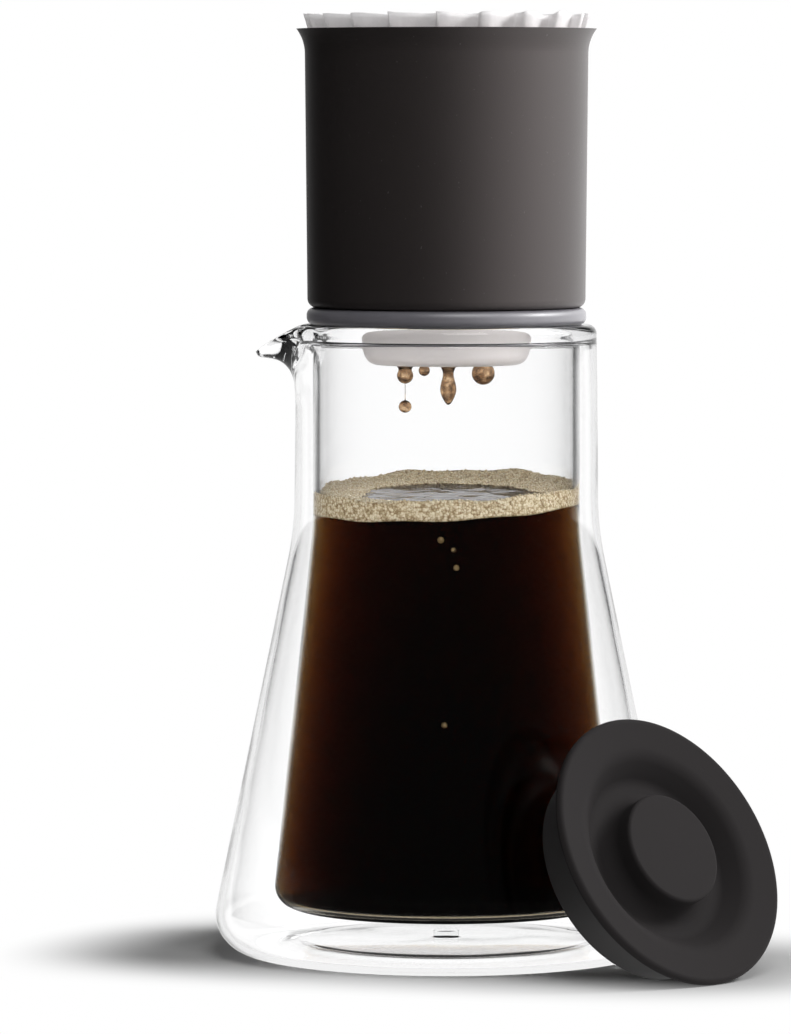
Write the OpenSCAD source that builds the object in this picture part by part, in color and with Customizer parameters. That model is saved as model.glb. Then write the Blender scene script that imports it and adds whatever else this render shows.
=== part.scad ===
// Pour-over coffee maker: a double-wall glass carafe, an insulated steel dripper that stands on
// its rim, a pleated paper filter in the dripper, and the carafe's lid leaning against its side.
// Millimetres, Z up. The origin is the centre of the carafe's foot, on the table.

/* [Carafe] */
// Height of the rim above the table
carafe_h = 170; // [150:1:190]
// Widest outside diameter, just above the foot
carafe_d = 125; // [116:1:134]
// Radius of the rounded corner between the foot and the side
foot_round = 10.4; // [8:0.2:12]
// Width of the flat ring that the carafe stands on
foot_w = 6; // [4:0.5:9]
// Height of the hollow in the middle of the foot
punt_h = 2; // [1.2:0.1:3]
// Outside diameter of the straight neck
neck_d = 82; // [79:0.5:88]
// Outside diameter of the neck just under the rim
rim_d = 81; // [80:0.5:87]
// Height at which the side meets the neck
knee_z = 115.4; // [100:0.2:125]
// Radius that blends the side into the neck
knee_round = 85; // [60:1:95]
// Thickness of the outer glass wall
outer_wall = 1.8; // [1.4:0.1:2.4]
// Thickness of the inner glass wall
inner_wall = 1.7; // [1.4:0.1:2.4]
// Air gap between the two walls at the neck
neck_gap = 3.2; // [2:0.1:4]
// Widest outside diameter of the inner wall
vessel_d = 92.8; // [88:0.2:98]
// Air gap under the inner wall's floor
floor_gap = 8.4; // [6:0.2:12]
// Radius of the inner wall's bottom corner
vessel_round = 6; // [4:0.2:9]
// Height of the fused glass rim
rim_h = 4; // [3.4:0.1:5]
// Radius of the rim's outer edge
rim_round_out = 2.4; // [1.4:0.1:2.8]
// Radius of the rim's inner edge
rim_round_in = 1.2; // [0.6:0.1:1.6]
// Diameter of the vent hole in the outer wall's foot
vent_d = 4.5; // [3.5:0.5:7]

/* [Spout] */
// Reach of the spout's tip beyond the neck
spout_reach = 10.6; // [8:0.2:13]
// Drop of the spout's lip at its tip, below the rim
spout_drop = 7; // [5:0.2:9]
// Diameter of the spout where it leaves the neck
spout_root_d = 14; // [12:0.5:18]
// Radius of the spout's tip
spout_tip_r = 2.4; // [1.6:0.1:2.8]
// Depth of the pouring channel in the rim
channel_depth = 2.6; // [1.6:0.1:2.9]
// Radius of the channel's floor at the rim
channel_r = 5.2; // [4:0.1:6.5]
// Radius of the channel's floor at the tip
channel_tip_r = 1.7; // [1:0.1:2]

/* [Dripper] */
// Height of the dripper's outer shell
shell_h = 75; // [65:1:90]
// Outside diameter of the shell at its bottom
shell_bottom_d = 75; // [72:0.5:78]
// Outside diameter of the shell below its flared rim
shell_top_d = 76.3; // [74:0.5:79]
// Height of the flare at the shell's rim
flare_h = 6.7; // [5:0.1:8]
// Radius of the flare
flare_round = 11; // [9.5:0.1:16]
// Radius of the shell's bottom corner
shell_round = 2.5; // [1.6:0.1:3.2]
// Width of the flat hem at the shell's bottom
hem_w = 2; // [1.4:0.1:3]
// Thickness of the steel sheet
sheet = 0.7; // [0.5:0.05:1]
// Gap between the shell and the cup along the flare
flare_gap = 0.35; // [0.25:0.05:0.6]
// Diameter of the cup's flat floor
cup_floor_d = 37; // [34:0.2:40]
// Radius of the cup's bottom corner
cup_round = 3.8; // [2:0.1:4.4]
// Reach of the cup's spigot below the shell
spigot_h = 15.2; // [10:0.2:22]
// Diameter of a drain hole in the cup's floor
drain_d = 2.4; // [1.6:0.1:3.2]
// Spacing of the rings of drain holes
drain_pitch = 6.4; // [5:0.1:7.5]
// Thickness of the plate that closes the vacuum jacket
plate_t = 0.8; // [0.6:0.1:1.2]
// Clearance on each side of the getter capsule in the jacket
getter_gap = 1.5; // [0.8:0.1:2]
// Height of the getter capsule
getter_h = 3; // [2:0.1:5]
// Diameter of the jacket's vacuum port
port_d = 2.4; // [1.6:0.1:3]
// Diameter of the solder bead that seals the port
bead_d = 3.6; // [3.2:0.1:4]

/* [Dripper gasket] */
// Height of the gasket between the rim and the shell
gasket_h = 4.5; // [3:0.1:6]
// Outside diameter of the gasket
gasket_d = 75.4; // [73.6:0.2:78]
// Radius of the gasket's edges
gasket_round = 1.9; // [0.6:0.1:2.1]

/* [Paper filter] */
// Number of pleats
pleats = 20; // [12:1:28]
// Depth of a pleat at the filter's top edge
pleat_depth = 3.2; // [1.6:0.1:4]
// Depth of a pleat at the filter's floor
pleat_depth_low = 0.6; // [0.4:0.1:1.2]
// Thickness of the paper
paper_t = 0.5; // [0.4:0.05:0.8]
// Height of the filter's edge above the dripper's rim
filter_proud = 5; // [2:0.2:8]
// Distance that the filter's edge springs out beyond the cup's cone
filter_spread = 0.75; // [0:0.05:0.8]

/* [Lid] */
// Diameter of the lid's flange
lid_d = 75.6; // [73:0.2:80]
// Thickness of the flange's edge
lid_edge_t = 2.6; // [2.2:0.1:3.2]
// Fall of the flange's top from its edge to the roll into the finger dish
lid_fall = 0.9; // [0.5:0.1:1.2]
// Diameter of the finger dish, at the inside of the roll around it
dish_d = 48.6; // [47:0.2:50]
// Radius of the roll from the flange's top into the dish
lip_round = 6.5; // [4:0.1:7.5]
// Depth of the finger dish below the flange's edge
dish_depth = 7; // [5:0.2:8.4]
// Diameter of the knob in the middle of the dish
knob_d = 30.8; // [26:0.2:33]
// Height of the knob's top above the flange's edge
knob_proud = 1.2; // [0:0.1:3]
// Radius of the knob's top edge
knob_round = 1; // [0.5:0.1:2]
// Radius of the fillets around the dish's floor
dish_round = 4; // [3:0.1:4.4]
// Wall thickness of the moulded lid
lid_wall = 2; // [1.6:0.1:2.4]
// Depth of the plug below the flange's edge
lid_h = 17; // [15:0.1:19]
// Diameter of the plug under the flange
plug_top_d = 67.6; // [66:0.2:67.8]
// Diameter of the plug at its bottom
plug_bottom_d = 60.4; // [59.6:0.2:63]
// Radius of the plug's bottom edge
plug_round = 1.2; // [0.8:0.1:1.5]
// Thickness of the seal's sleeve at the plug's bottom
seal_t = 2; // [1.6:0.1:2.4]
// Gap that shows between the flange and the seal
seal_gap = 0.5; // [0.3:0.1:0.8]
// Thickness of the disc that closes the lid's underside
disc_t = 1.8; // [1.4:0.1:2.4]
// Bearing of the leaning lid, from the front towards the right
lid_bearing = 44.7; // [20:0.1:70]
// Angle of the lid's axis above the table
lid_tilt = 27.8; // [24:0.2:36]

/* [Fits] */
// Clearance between pieces that lift apart
lift_gap = 0.35; // [0.25:0.05:0.6]
// Clearance between pieces that are welded or pressed together
seat_gap = 0.05; // [0.02:0.01:0.1]

/* [Hidden] */
$fn = 96;

// Points on an arc in the (radius, height) plane
arc_steps = 12;
function arc(c, r, from, to) =
    [for (i = [0 : arc_steps]) let (a = from + (to - from) * i / arc_steps) c + r * [cos(a), sin(a)]];
function backwards(points) = [for (i = [len(points) - 1 : -1 : 0]) points[i]];

// Lean from vertical of a straight side that runs down from the point top to touch a corner's circle
function lean(top, corner, r) = let (d = corner - top)
    atan2(d[0], -d[1]) + asin(r / norm(d));

// Carafe walls: each side is a corner arc, a straight lean and a knee arc up to its neck
neck_r = neck_d / 2;
rim_r = rim_d / 2;
mouth_r = neck_r - outer_wall - neck_gap - inner_wall;
rim_z = carafe_h - rim_h;
foot_r = carafe_d / 2 - foot_round;
foot_in_r = foot_r - foot_w;
outer_corner = [foot_r, foot_round];
outer_lean = lean([neck_r, knee_z], outer_corner, foot_round);
vessel_z = outer_wall + punt_h + floor_gap;
vessel_neck_r = mouth_r + inner_wall;
vessel_corner = [vessel_d / 2 - vessel_round, vessel_z + vessel_round];
vessel_lean = lean([vessel_neck_r, knee_z], vessel_corner, vessel_round);

function knee(r, angle) = [r + knee_round, knee_z + knee_round * tan(angle / 2)];
function side(corner, r, neck, angle, inset) = concat(
    arc(corner, r - inset, -90, angle),
    arc(knee(neck, angle), knee_round + inset, 180 + angle, 180));

// Spout and its channel, on the carafe's left: points are (x, z)
spout_root = [-rim_r + outer_wall, carafe_h - rim_round_in / 2 - spout_root_d / 2];
spout_tip = [-rim_r - spout_reach + spout_tip_r, carafe_h - spout_drop - spout_tip_r / 2];
channel_root = [-mouth_r + channel_r, carafe_h - channel_depth + channel_r];
channel_tip = [-rim_r - spout_reach - spout_tip_r, spout_tip[1] + channel_tip_r];

// Dripper heights: the gasket stands on the rim and carries the shell
gasket_z = carafe_h;
shell_z = gasket_z + gasket_h;
shell_top_z = shell_z + shell_h;
shell_r = shell_bottom_d / 2;
flare_r = shell_top_d / 2;
flare_center = [flare_r + flare_round, shell_top_z - flare_h];
function flare_end(inset) = 180 - asin(flare_h / (flare_round + inset));
hem_r = shell_r - shell_round - hem_w;
plate_z = shell_z + sheet;
shell_edge_r = flare_center[0] + (flare_round + sheet) * cos(flare_end(sheet));

// Cup: a flare beside the shell's, then a cone down to the spigot's rounded floor
cup_z = shell_z - spigot_h;
cup_corner = [cup_floor_d / 2, cup_z + cup_round];
cup_flare = flare_round + sheet + flare_gap;
cup_lean = lean(flare_center, cup_corner, cup_round + cup_flare);
cup_side = cup_corner + cup_round * [cos(cup_lean), sin(cup_lean)];
cup_wall = sheet / cos(cup_lean);
function cup_r(z) = cup_side[0] - (z - cup_side[1]) * tan(cup_lean);
cone_top_z = flare_center[1] - cup_flare * sin(cup_lean);

// The getter and the port seal each lie in the middle of the room that the jacket leaves them
getter_z = plate_z + plate_t;
getter_in_r = cup_r(getter_z + getter_h);
getter_out_r = shell_r - sheet;
getter_d = getter_out_r - getter_in_r - 2 * getter_gap;
getter_mid_r = (getter_in_r + getter_out_r) / 2;
port_in_r = cup_r(plate_z + plate_t);
port_mid_r = (port_in_r + hem_r) / 2;

// Filter: wavy rings that follow the cup's inside
filter_z = cup_z + sheet;
filter_knee_z = filter_z + cup_round;
filter_top_z = shell_top_z + filter_proud;
filter_floor_r = cup_floor_d / 2 - lift_gap;
points_per_pleat = 6;
ring = pleats * points_per_pleat;
function filter_r(z) = cup_r(z) - cup_wall - lift_gap;
filter_top_r = filter_r(filter_top_z) + filter_spread;
function pleat_at(z) = pleat_depth_low
    + (pleat_depth - pleat_depth_low) * (z - filter_z) / (filter_top_z - filter_z);
function wavy(r, depth, z) = [for (i = [0 : ring - 1])
    let (wave = (1 - cos(360 * i / points_per_pleat)) / 2, a = 360 * i / ring)
    [(r - depth * wave) * cos(a), (r - depth * wave) * sin(a), z]];

// Lid: profile radii, and the leaning pose that rests it on the table and on the carafe's side
lid_r = lid_d / 2;
edge_r = lid_edge_t / 2;
knob_r = knob_d / 2;
dish_r = dish_d / 2;
// Where the dish's floor turns up into its 45 degree wall, tangent to both of the wall's arcs
dish_floor_r = dish_r + lip_round - (sqrt(2) - 1) * (lip_round + dish_round)
    - (dish_depth - lid_fall);
// The flange's top is the line that touches both its edge's arc and the roll into the dish
flange_edge = [lid_r - edge_r, -edge_r];
lip = [dish_r + lip_round, -lid_fall - lip_round];
flange_turn = let (d = flange_edge - lip) atan2(d[1], d[0]) + acos((lip_round - edge_r) / norm(d));
hub_r = plug_bottom_d / 2 - seal_t;
hub_in_r = hub_r - lid_wall;
hub_z = -lid_h + seal_t;
disc_z = hub_z + seat_gap;
seal_lip_r = hub_in_r - lid_wall;
plug_edge = [plug_bottom_d / 2 - plug_round, -lid_h + plug_round];
lid_z = max(plug_edge[0] * cos(lid_tilt) - plug_edge[1] * sin(lid_tilt) + plug_round,
            (lid_r - edge_r) * cos(lid_tilt) + edge_r * sin(lid_tilt) + edge_r);
touch_z = lid_z + plug_edge[1] * sin(lid_tilt) + plug_edge[0] * cos(lid_tilt);
touch_r = neck_r + (knee_z - touch_z) * tan(outer_lean) + (plug_round + lift_gap) / cos(outer_lean);
lid_away = touch_r - plug_edge[1] * cos(lid_tilt) + plug_edge[0] * sin(lid_tilt);

// A cone whose axis runs between two points of the vertical plane through the spout
module cone_between(a, r_a, b, r_b) {
    d = b - a;
    translate([a[0], 0, a[1]]) rotate([0, atan2(d[0], d[1]), 0])
        cylinder(h = norm(d), r1 = r_a, r2 = r_b, $fn = 48);
}

module carafe_outer_wall() {
    outer = side(outer_corner, foot_round, neck_r, outer_lean, 0);
    inner = side(outer_corner, foot_round, neck_r, outer_lean, outer_wall);
    color([0.85, 0.88, 0.88, 0.4]) difference() {
        union() {
            rotate_extrude() polygon(concat(
                [[vent_d / 2, punt_h], [foot_in_r - 2 * punt_h, punt_h], [foot_in_r, 0]],
                outer,
                arc([rim_r - rim_round_out, carafe_h - rim_round_out], rim_round_out, 0, 90),
                arc([mouth_r + rim_round_in, carafe_h - rim_round_in], rim_round_in, 90, 180),
                [[mouth_r, rim_z], [rim_r - outer_wall, rim_z]],
                backwards(inner),
                [[foot_in_r, outer_wall], [foot_in_r - 2 * punt_h, punt_h + outer_wall],
                 [vent_d / 2, punt_h + outer_wall]]));
            difference() {
                union() {
                    cone_between(spout_root, spout_root_d / 2, spout_tip, spout_tip_r);
                    translate([spout_tip[0], 0, spout_tip[1]]) sphere(r = spout_tip_r);
                }
                cylinder(r = rim_r - outer_wall / 2, h = carafe_h);
            }
        }
        cone_between(channel_root, channel_r, channel_tip, channel_tip_r);
    }
}

module carafe_inner_wall() {
    outer = side(vessel_corner, vessel_round, vessel_neck_r, vessel_lean, 0);
    inner = side(vessel_corner, vessel_round, vessel_neck_r, vessel_lean, inner_wall);
    color([0.85, 0.88, 0.88, 0.4]) rotate_extrude() polygon(concat(
        [[0, vessel_z]], outer,
        [[vessel_neck_r, rim_z], [mouth_r, rim_z]],
        backwards(inner), [[0, vessel_z + inner_wall]]));
}

module carafe_vent_seal() {
    // A stepped plug: its stem fills the vent hole and its head lies in the jacket
    color([0.7, 0.72, 0.72]) translate([0, 0, punt_h]) {
        cylinder(d = vent_d - 2 * seat_gap, h = outer_wall);
        translate([0, 0, outer_wall]) cylinder(d = 1.5 * vent_d, h = outer_wall);
    }
}

module dripper_outer_shell() {
    outer = concat(
        arc([shell_r - shell_round, shell_z + shell_round], shell_round, -90, 0),
        arc(flare_center, flare_round, 180, flare_end(0)));
    inner = concat(
        arc([shell_r - shell_round, shell_z + shell_round], shell_round - sheet, -90, 0),
        arc(flare_center, flare_round + sheet, 180, flare_end(sheet)));
    color([0.09, 0.085, 0.085]) rotate_extrude() polygon(concat(
        [[hem_r, shell_z]], outer, backwards(inner), [[hem_r, plate_z]]));
}

module dripper_inner_cup() {
    lip_start = 180 - asin((flare_h - sheet) / cup_flare);
    inside_flare = cup_flare + sheet;
    inside = concat(
        arc(cup_corner, cup_round - sheet, -90, cup_lean),
        arc(flare_center, inside_flare, 180 + cup_lean, flare_end(inside_flare - flare_round)));
    color([0.75, 0.75, 0.74]) difference() {
        rotate_extrude() polygon(concat(
            [[0, cup_z]],
            arc(cup_corner, cup_round, -90, cup_lean),
            arc(flare_center, cup_flare, 180 + cup_lean, lip_start),
            [[shell_edge_r - seat_gap, shell_top_z]],
            backwards(inside),
            [[0, cup_z + sheet]]));
        for (row = [0 : 2]) for (i = [0 : max(6 * row - 1, 0)])
            rotate(60 * i / max(row, 1)) translate([drain_pitch * row, 0, cup_z - sheet])
                cylinder(d = drain_d, h = 3 * sheet, $fn = 24);
    }
}

module dripper_jacket_plate() {
    color([0.7, 0.7, 0.69]) translate([0, 0, plate_z]) difference() {
        cylinder(r = shell_r - shell_round - seat_gap, h = plate_t);
        translate([0, 0, -plate_t])
            cylinder(r = port_in_r + seat_gap, h = 3 * plate_t);
        translate([-port_mid_r, 0, -plate_t]) cylinder(d = port_d, h = 3 * plate_t);
    }
}

module dripper_getter() {
    color([0.55, 0.55, 0.55]) translate([getter_mid_r, 0, getter_z])
        cylinder(d = getter_d, h = getter_h);
}

module dripper_port_seal() {
    color([0.4, 0.38, 0.36]) translate([-port_mid_r, 0, plate_z]) {
        cylinder(d = port_d - 2 * seat_gap, h = plate_t);
        translate([0, 0, -sheet + seat_gap]) cylinder(d = bead_d, h = sheet - seat_gap);
    }
}

module dripper_gasket() {
    edge = gasket_d / 2 - gasket_round;
    color([0.42, 0.44, 0.47]) rotate_extrude() polygon(concat(
        [[cup_r(gasket_z) + seat_gap, gasket_z]],
        arc([edge, gasket_z + gasket_round], gasket_round, -90, 0),
        arc([edge, shell_z - gasket_round], gasket_round, 0, 90),
        [[cup_r(shell_z) + seat_gap, shell_z]]));
}

module paper_filter() {
    // Rings from the outer floor up to the rim, then down the inside to the inner floor
    levels = concat(
        wavy(filter_floor_r, pleat_at(filter_z), filter_z),
        wavy(filter_r(filter_knee_z), pleat_at(filter_knee_z), filter_knee_z),
        wavy(filter_r(cone_top_z), pleat_at(cone_top_z), cone_top_z),
        wavy(filter_top_r, pleat_at(filter_top_z), filter_top_z),
        wavy(filter_top_r - paper_t, pleat_at(filter_top_z), filter_top_z),
        wavy(filter_r(cone_top_z) - paper_t, pleat_at(cone_top_z), cone_top_z),
        wavy(filter_r(filter_knee_z) - paper_t, pleat_at(filter_knee_z), filter_knee_z),
        wavy(filter_floor_r - paper_t, pleat_at(filter_z), filter_z + paper_t));
    last = len(levels) - ring;
    low = len(levels);
    bands = [for (b = [0 : ring : last - ring]) for (i = [0 : ring - 1])
        let (a = b + i, n = b + (i + 1) % ring) each [[a, a + ring, n], [n, a + ring, n + ring]]];
    floors = [for (i = [0 : ring - 1])
        let (n = (i + 1) % ring) each [[low, i, n], [low + 1, last + n, last + i]]];
    color([0.95, 0.94, 0.92]) polyhedron(
        points = concat(levels, [[0, 0, filter_z], [0, 0, filter_z + paper_t]]),
        faces = concat(bands, floors));
}

module lid_pose() {
    rotate(lid_bearing) translate([0, -lid_away, lid_z]) rotate([90 - lid_tilt, 0, 0]) children();
}

module lid_cap() {
    floor_z = -dish_depth;
    color([0.2, 0.2, 0.2]) lid_pose() rotate_extrude() polygon(concat(
        [[0, knob_proud]],
        arc([knob_r - knob_round, knob_proud - knob_round], knob_round, 90, 0),
        arc([knob_r + dish_round, floor_z + dish_round], dish_round, 180, 270),
        arc([dish_floor_r, floor_z + dish_round], dish_round, 270, 315),
        arc(lip, lip_round, 135, flange_turn),
        arc(flange_edge, edge_r, flange_turn, -90),
        [[hub_r, -lid_edge_t], [hub_r, hub_z], [hub_in_r, hub_z],
         [hub_in_r, floor_z - lid_wall], [knob_r - lid_wall, floor_z - lid_wall],
         [knob_r - lid_wall, knob_proud - lid_wall], [0, knob_proud - lid_wall]]));
}

module lid_seal() {
    // A sleeve around the lid's hub, turned in under it
    color([0.15, 0.15, 0.15]) lid_pose() rotate_extrude() polygon(concat(
        [[seal_lip_r, -lid_h]],
        arc(plug_edge, plug_round, -90, 0),
        [[plug_top_d / 2, -lid_edge_t - seal_gap], [hub_r + seat_gap, -lid_edge_t - seal_gap],
         [hub_r + seat_gap, hub_z], [seal_lip_r, hub_z]]));
}

module lid_inner_disc() {
    color([0.25, 0.25, 0.25]) lid_pose() translate([0, 0, disc_z])
        cylinder(r = hub_in_r - seat_gap, h = disc_t);
}

carafe_outer_wall();
carafe_inner_wall();
carafe_vent_seal();
dripper_outer_shell();
dripper_inner_cup();
dripper_jacket_plate();
dripper_getter();
dripper_port_seal();
dripper_gasket();
paper_filter();
lid_cap();
lid_seal();
lid_inner_disc();
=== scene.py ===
import math

import bpy
import numpy as np
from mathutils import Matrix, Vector


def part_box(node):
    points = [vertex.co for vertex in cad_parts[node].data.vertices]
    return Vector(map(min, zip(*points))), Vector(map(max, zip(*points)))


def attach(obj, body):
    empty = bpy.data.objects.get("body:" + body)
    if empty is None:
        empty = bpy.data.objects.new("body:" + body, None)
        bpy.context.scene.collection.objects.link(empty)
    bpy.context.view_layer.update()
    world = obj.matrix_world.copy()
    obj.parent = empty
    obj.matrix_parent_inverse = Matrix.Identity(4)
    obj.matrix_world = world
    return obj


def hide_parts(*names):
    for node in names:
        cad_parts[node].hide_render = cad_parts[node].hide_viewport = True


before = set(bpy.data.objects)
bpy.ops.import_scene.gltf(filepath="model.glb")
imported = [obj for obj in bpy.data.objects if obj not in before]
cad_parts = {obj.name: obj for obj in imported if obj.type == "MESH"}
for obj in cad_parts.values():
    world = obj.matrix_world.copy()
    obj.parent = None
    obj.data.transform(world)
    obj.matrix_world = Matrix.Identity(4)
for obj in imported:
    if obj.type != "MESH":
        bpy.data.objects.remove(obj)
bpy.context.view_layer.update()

# Carafe walls
# Two blown glass walls, fused at a fire-polished rim with air sealed between them. The rim is
# pulled out into a small spout on the left while it is soft, so the glass is thicker there.
outer_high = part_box("carafe_outer_wall")[1]
vessel_low, vessel_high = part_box("carafe_inner_wall")
RIM_Z = outer_high.z
BELLY_R = outer_high.x
FOOT_ROUND = 0.0104
FOOT_WIDTH = 0.006
PUNT_H = 0.002
NECK_R = 0.041
RIM_R = 0.0405
KNEE_Z = 0.1154
KNEE_ROUND = 0.085
OUTER_WALL = 0.0018
INNER_WALL = 0.0017
VESSEL_ROUND = 0.006
VESSEL_Z = vessel_low.z
VESSEL_R = vessel_high.x
JACKET_GAP = 0.0032
MOUTH_R = NECK_R - OUTER_WALL - JACKET_GAP - INNER_WALL
VESSEL_NECK_R = MOUTH_R + INNER_WALL
JACKET_TOP_Z = vessel_high.z
RIM_ROUND_OUT = 0.0024
RIM_ROUND_IN = 0.0012
VENT_R = 0.00225
POLE_R = 0.002
GLASS_SIDES = 256


def arc(center, radius, start, end, steps=12):
    """Points of an arc in the plane of radius and height, with angles in degrees."""
    angles = np.radians(np.linspace(start, end, steps + 1))
    return np.column_stack((center[0] + radius * np.cos(angles),
                            center[1] + radius * np.sin(angles)))


def line(start, end, steps):
    """Points of a straight run, without its first and last ones."""
    share = np.linspace(0, 1, steps + 1)[1:-1, None]
    return np.asarray(start) * (1 - share) + np.asarray(end) * share


def lean(top, corner, radius):
    """Degrees from vertical of a side that runs down from a point and touches a corner's circle."""
    d = np.subtract(corner, top)
    return math.degrees(math.atan2(d[0], -d[1]) + math.asin(radius / math.hypot(*d)))


def wall_side(corner, radius, neck, inset):
    """A wall's side, from the floor's edge round the corner, up the lean and round the knee."""
    angle = lean((neck, KNEE_Z), corner, radius)
    knee = (neck + KNEE_ROUND, KNEE_Z + KNEE_ROUND * math.tan(math.radians(angle) / 2))
    low = arc(corner, radius - inset, -90, angle, 16)
    high = arc(knee, KNEE_ROUND + inset, 180 + angle, 180, 10)
    return np.vstack((low, line(low[-1], high[0], 12), high))


def turned(profile, sides):
    """Rings of points from a profile turned about the Z axis, one ring for each profile point."""
    angles = np.linspace(0, 2 * math.pi, sides, endpoint=False)
    around = np.stack((np.cos(angles), np.sin(angles)), -1)
    rings = np.zeros((len(profile), sides, 3))
    rings[:, :, :2] = profile[:, None, :1] * around[None]
    rings[:, :, 2] = profile[:, None, 1]
    return rings


def ring_faces(rows, sides, first, pole_low, pole_high):
    """Faces between rings of points, closed with fans at a pole where there is one."""
    def at(row, side):
        return first + row * sides + side % sides
    faces = [(at(i, j), at(i, j + 1), at(i + 1, j + 1), at(i + 1, j))
             for i in range(rows - 1) for j in range(sides)]
    if pole_low is not None:
        faces += [(pole_low, at(0, j + 1), at(0, j)) for j in range(sides)]
    if pole_high is not None:
        faces += [(pole_high, at(rows - 1, j), at(rows - 1, j + 1)) for j in range(sides)]
    return faces


def shell_mesh(name, skins):
    """A smooth mesh of ring skins, each given as its rings, its two poles' heights and its axis."""
    points, faces = [], []
    for rings, low, high, axis in skins:
        rows, sides = rings.shape[:2]
        first = len(points)
        points += [(x + axis[0], y + axis[1], z) for x, y, z in rings.reshape(-1, 3)]
        poles = [None, None]
        for end, z in enumerate((low, high)):
            if z is not None:
                poles[end] = len(points)
                points.append((*axis, z))
        faces += ring_faces(rows, sides, first, *poles)
    mesh = bpy.data.meshes.new(name)
    mesh.from_pydata(points, [], faces)
    mesh.validate()
    mesh.shade_smooth()
    piece = bpy.data.objects.new(name, mesh)
    bpy.context.scene.collection.objects.link(piece)
    return piece


def along(points, count):
    """A curve's points spread evenly along its length."""
    points = np.asarray(points, float)
    steps = np.concatenate(([0], np.cumsum(np.hypot(*np.diff(points, axis=0).T))))
    even = np.linspace(0, steps[-1], count)
    return np.column_stack([np.interp(even, steps, points[:, k]) for k in (0, 1)])


def smooth_run(points, count):
    """An even curve through a few points, rounded by repeated corner cutting."""
    points = np.asarray(points, float)
    for _ in range(3):
        a, b = points[:-1], points[1:]
        cut = np.stack((a * 0.75 + b * 0.25, a * 0.25 + b * 0.75), 1).reshape(-1, 2)
        points = np.vstack((points[:1], cut, points[-1:]))
    return along(points, count)


# The skin that is touched: under the foot, up the outside, over the rim and down into the vessel
foot_corner = (BELLY_R - FOOT_ROUND, FOOT_ROUND)
vessel_corner = (VESSEL_R - VESSEL_ROUND, VESSEL_Z + VESSEL_ROUND)
foot_in_r = foot_corner[0] - FOOT_WIDTH
punt = smooth_run([(VENT_R, PUNT_H), (foot_in_r - 0.006, PUNT_H), (foot_in_r - 0.003, 0.0004),
                   (foot_in_r, 0)], 24)
outside = wall_side(foot_corner, FOOT_ROUND, NECK_R, 0)
vessel_inside = wall_side(vessel_corner, VESSEL_ROUND, VESSEL_NECK_R, INNER_WALL)
SPOUT_FOOT_Z = 0.148
rim_start = (RIM_R, RIM_Z - RIM_ROUND_OUT)
neck_mark = np.array((NECK_R + (RIM_R - NECK_R) * 0.5, SPOUT_FOOT_Z))
mouth_mark = np.array((MOUTH_R, SPOUT_FOOT_Z + 0.008))
rim_middle = np.array(((RIM_R - RIM_ROUND_OUT + MOUTH_R + RIM_ROUND_IN) / 2, RIM_Z))
round_out = arc((RIM_R - RIM_ROUND_OUT, RIM_Z - RIM_ROUND_OUT), RIM_ROUND_OUT, 0, 90)
round_in = arc((MOUTH_R + RIM_ROUND_IN, RIM_Z - RIM_ROUND_IN), RIM_ROUND_IN, 90, 180)
rim_outer = along(np.vstack((neck_mark, line(neck_mark, rim_start, 12), round_out, rim_middle)), 44)
rim_inner = along(np.vstack((rim_middle, round_in, mouth_mark)), 34)[1:]
below_rim = np.vstack((punt, line(punt[-1], outside[0], 4), outside,
                       line(outside[-1], neck_mark, 6)))
skin = np.vstack((below_rim, rim_outer, rim_inner, line(mouth_mark, vessel_inside[-1], 8),
                  vessel_inside[::-1],
                  line(vessel_inside[0], (POLE_R, VESSEL_Z + INNER_WALL), 8)))

# The spout's middle line: out along its underside to the tip, then back up the pouring channel
SPOUT_TIP = np.array((0.0514, 0.1626))
underside = smooth_run([neck_mark, (0.0409, 0.1525), (0.0412, 0.1552), (0.0424, 0.1580),
                        (0.0448, 0.1602), (0.0480, 0.1609), (0.0508, 0.1612), SPOUT_TIP],
                       len(rim_outer))
channel = smooth_run([SPOUT_TIP, (0.0505, 0.1636), (0.0468, 0.1647), (0.0425, 0.1660),
                      (0.0385, 0.1668), (0.0352, 0.1667), (MOUTH_R, 0.1648), mouth_mark],
                     len(rim_inner) + 1)[1:]
SPOUT_HALF_ANGLE = math.radians(9.5)
SPOUT_TAPER = 1.8
SPOUT_LIFT = 1.6


def pull_spout(rings, first, middle):
    """Draws the rings from first on towards the spout's middle line, most at the carafe's left."""
    angle = np.arctan2(rings[0, :, 1], -rings[0, :, 0])
    pull = np.exp(-np.abs(angle / SPOUT_HALF_ANGLE) ** SPOUT_TAPER)[None, :]
    part = rings[first:first + len(middle)]
    reach = np.hypot(part[:, :, 0], part[:, :, 1])
    drawn = reach + pull * (middle[:, None, 0] - reach)
    part[:, :, :2] *= (drawn / reach)[:, :, None]
    part[:, :, 2] += pull ** SPOUT_LIFT * (middle[:, None, 1] - part[:, :, 2])


skin_rings = turned(skin, GLASS_SIDES)
pull_spout(skin_rings, len(below_rim), np.vstack((underside, channel)))

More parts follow.
